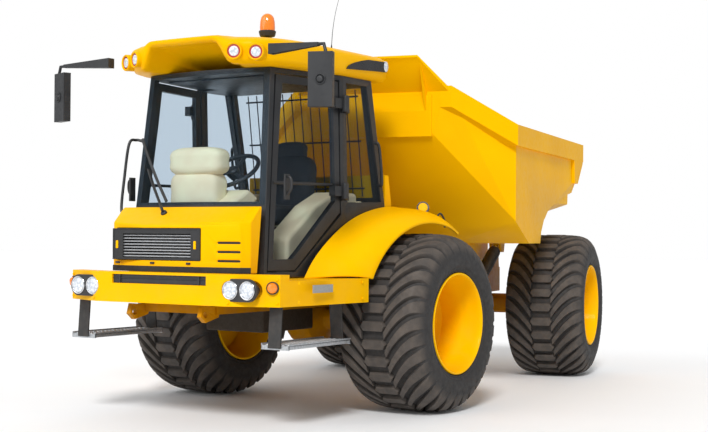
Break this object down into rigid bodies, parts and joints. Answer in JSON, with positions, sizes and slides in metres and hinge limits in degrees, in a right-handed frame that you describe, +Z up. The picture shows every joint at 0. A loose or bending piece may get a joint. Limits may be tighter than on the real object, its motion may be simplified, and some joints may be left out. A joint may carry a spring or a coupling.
{
  "type": "articulated dump truck",
  "caption": "Compact articulated dump truck with a cab, centre pivot, tipping body with rock canopy, four wide tyres and steering and tipping cylinders.",
  "frame": {"origin": "on the ground, at the bottom centre of the bounding box", "axes": "+Z up, the front unit faces -Y, +X is the front unit's left side; the rear unit is swung 12.83 degrees about +Z at rest"},
  "size_m": [2.9832, 5.4322, 3.0256],
  "materials": {
    "amber_lens": "clear gloss",
    "beige_trim": "matte",
    "black_paint": "satin",
    "black_plastic": "matte",
    "bright_steel": "polished",
    "cab_glass": "clear",
    "cast_iron": "plain",
    "grey_steel": "galvanised",
    "grille_silver": "satin",
    "rim_paint": "satin",
    "tyre_rubber": "matte",
    "yellow_paint": "gloss"
  },
  "bodies": {
    "front_wheel_left": {"rim_front_left": "rim_paint", "tyre_front_left": "tyre_rubber"},
    "front_wheel_right": {"rim_front_right": "rim_paint", "tyre_front_right": "tyre_rubber"},
    "front_unit": {"antenna": "black_plastic", "beacon": "amber_lens", "cab_roof": "yellow_paint", "cab_shell": "black_paint", "engine_block": "cast_iron", "engine_cover": "yellow_paint", "fender_left": "yellow_paint", "fender_right": "yellow_paint", "front_axle": "yellow_paint", "front_bumper": "yellow_paint", "front_cowl": "yellow_paint", "front_frame": "yellow_paint", "headlamps_left": "bright_steel", "headlamps_right": "bright_steel", "mirror_left": "black_plastic", "mirror_right": "black_plastic", "quarter_glass_left": "cab_glass", "quarter_glass_right": "cab_glass", "radiator_grille": "grille_silver", "rear_window": "cab_glass", "seat": "beige_trim", "steering_console": "beige_trim", "steering_wheel": "black_plastic", "step_left": "grey_steel", "step_right": "grey_steel", "windshield": "cab_glass"},
    "door_left": {"door_glass_left": "cab_glass", "door_left": "black_paint"},
    "steer_barrel_left": {"steer_barrel_left": "black_paint"},
    "steer_rod_left": {"steer_rod_left": "bright_steel"},
    "door_right": {"door_glass_right": "cab_glass", "door_right": "black_paint"},
    "steer_barrel_right": {"steer_barrel_right": "black_paint"},
    "steer_rod_right": {"steer_rod_right": "bright_steel"},
    "articulation": {"articulation_yoke": "black_paint"},
    "rear_unit": {"rear_axle": "yellow_paint", "rear_frame": "yellow_paint"},
    "dump_body": {"dump_body": "yellow_paint"},
    "rear_wheel_left": {"rim_rear_left": "rim_paint", "tyre_rear_left": "tyre_rubber"},
    "tip_barrel_left": {"tip_barrel_left": "black_paint"},
    "tip_rod_left": {"tip_rod_left": "bright_steel"},
    "rear_wheel_right": {"rim_rear_right": "rim_paint", "tyre_rear_right": "tyre_rubber"},
    "tip_barrel_right": {"tip_barrel_right": "black_paint"},
    "tip_rod_right": {"tip_rod_right": "bright_steel"}
  },
  "joints": [
    {"name": "front_wheel_left_spin", "type": "hinge", "parent": "front_unit", "child": "front_wheel_left", "pos_m": [1.1371, -0.95111, 0.645], "axis": [1, 0, 0], "continuous": true},
    {"name": "rear_wheel_left_spin", "type": "hinge", "parent": "rear_unit", "child": "rear_wheel_left", "pos_m": [0.84654, 2.03322, 0.645], "axis": [0.975, 0.2221, 0], "continuous": true},
    {"name": "door_left_hinge", "type": "hinge", "parent": "front_unit", "child": "door_left", "pos_m": [0.8621, -1.52311, 1.435], "axis": [0, 0, 1], "range_deg": [0, 70]},
    {"name": "front_wheel_right_spin", "type": "hinge", "parent": "front_unit", "child": "front_wheel_right", "pos_m": [-0.7929, -0.95111, 0.645], "axis": [1, 0, 0], "continuous": true},
    {"name": "rear_wheel_right_spin", "type": "hinge", "parent": "rear_unit", "child": "rear_wheel_right", "pos_m": [-1.03528, 1.60464, 0.645], "axis": [0.975, 0.2221, 0], "continuous": true},
    {"name": "door_right_hinge", "type": "hinge", "parent": "front_unit", "child": "door_right", "pos_m": [-0.5179, -1.52311, 1.435], "axis": [0, 0, -1], "range_deg": [0, 70]},
    {"name": "steering", "type": "hinge", "parent": "front_unit", "child": "articulation", "pos_m": [0.1721, 0.64889, 0.785], "axis": [0, 0, 1], "range_deg": [-52.83, 27.17]},
    {"name": "frame_roll", "type": "hinge", "parent": "articulation", "child": "rear_unit", "pos_m": [0.09216, 0.9999, 0.785], "axis": [-0.2221, 0.975, 0], "range_deg": [-8, 8]},
    {"name": "body_tip", "type": "hinge", "parent": "rear_unit", "child": "dump_body", "pos_m": [-0.14988, 2.06269, 1.045], "axis": [-0.975, -0.2221, 0], "range_deg": [0, 70]},
    {"name": "steer_barrel_left_hinge", "type": "hinge", "parent": "front_unit", "child": "steer_barrel_left", "pos_m": [0.6321, -0.09111, 0.805], "axis": [0, 0, 1], "range_deg": [-2.13, 1.11]},
    {"name": "steer_rod_left_slide", "type": "slide", "parent": "steer_barrel_left", "child": "steer_rod_left", "axis": [-0.1407, 0.9901, 0], "range_m": [-0.30478, 0.15699]},
    {"name": "tip_barrel_left_hinge", "type": "hinge", "parent": "rear_unit", "child": "tip_barrel_left", "pos_m": [0.55313, 1.00233, 0.825], "axis": [-0.975, -0.2221, 0], "range_deg": [-5.14, 0.02]},
    {"name": "tip_rod_left_slide", "type": "slide", "parent": "tip_barrel_left", "child": "tip_rod_left", "axis": [-0.2017, 0.8856, 0.4183], "range_m": [-0.0005, 0.50705]},
    {"name": "steer_barrel_right_hinge", "type": "hinge", "parent": "front_unit", "child": "steer_barrel_right", "pos_m": [-0.2879, -0.09111, 0.805], "axis": [0, 0, 1], "range_deg": [-3.19, 1.65]},
    {"name": "steer_rod_right_slide", "type": "slide", "parent": "steer_barrel_right", "child": "steer_rod_right", "axis": [0.1182, 0.993, 0], "range_m": [-0.16647, 0.32322]},
    {"name": "tip_barrel_right_hinge", "type": "hinge", "parent": "rear_unit", "child": "tip_barrel_right", "pos_m": [-0.3244, 0.80247, 0.825], "axis": [-0.975, -0.2221, 0], "range_deg": [-5.14, 0.02]},
    {"name": "tip_rod_right_slide", "type": "slide", "parent": "tip_barrel_right", "child": "tip_rod_right", "axis": [-0.2017, 0.8856, 0.4183], "range_m": [-0.0005, 0.50705]}
  ],
  "couplings": [
    {"joint": "steer_barrel_left_hinge", "follows": "steering", "ratio": 0.04},
    {"joint": "steer_rod_left_slide", "follows": "steering", "m_per_rad": 0.33},
    {"joint": "tip_barrel_left_hinge", "follows": "body_tip", "ratio": -0.073142},
    {"joint": "tip_rod_left_slide", "follows": "body_tip", "m_per_rad": 0.41462},
    {"joint": "steer_barrel_right_hinge", "follows": "steering", "ratio": 0.06},
    {"joint": "steer_rod_right_slide", "follows": "steering", "m_per_rad": -0.35},
    {"joint": "tip_barrel_right_hinge", "follows": "body_tip", "ratio": -0.073142},
    {"joint": "tip_rod_right_slide", "follows": "body_tip", "m_per_rad": 0.41462}
  ]
}
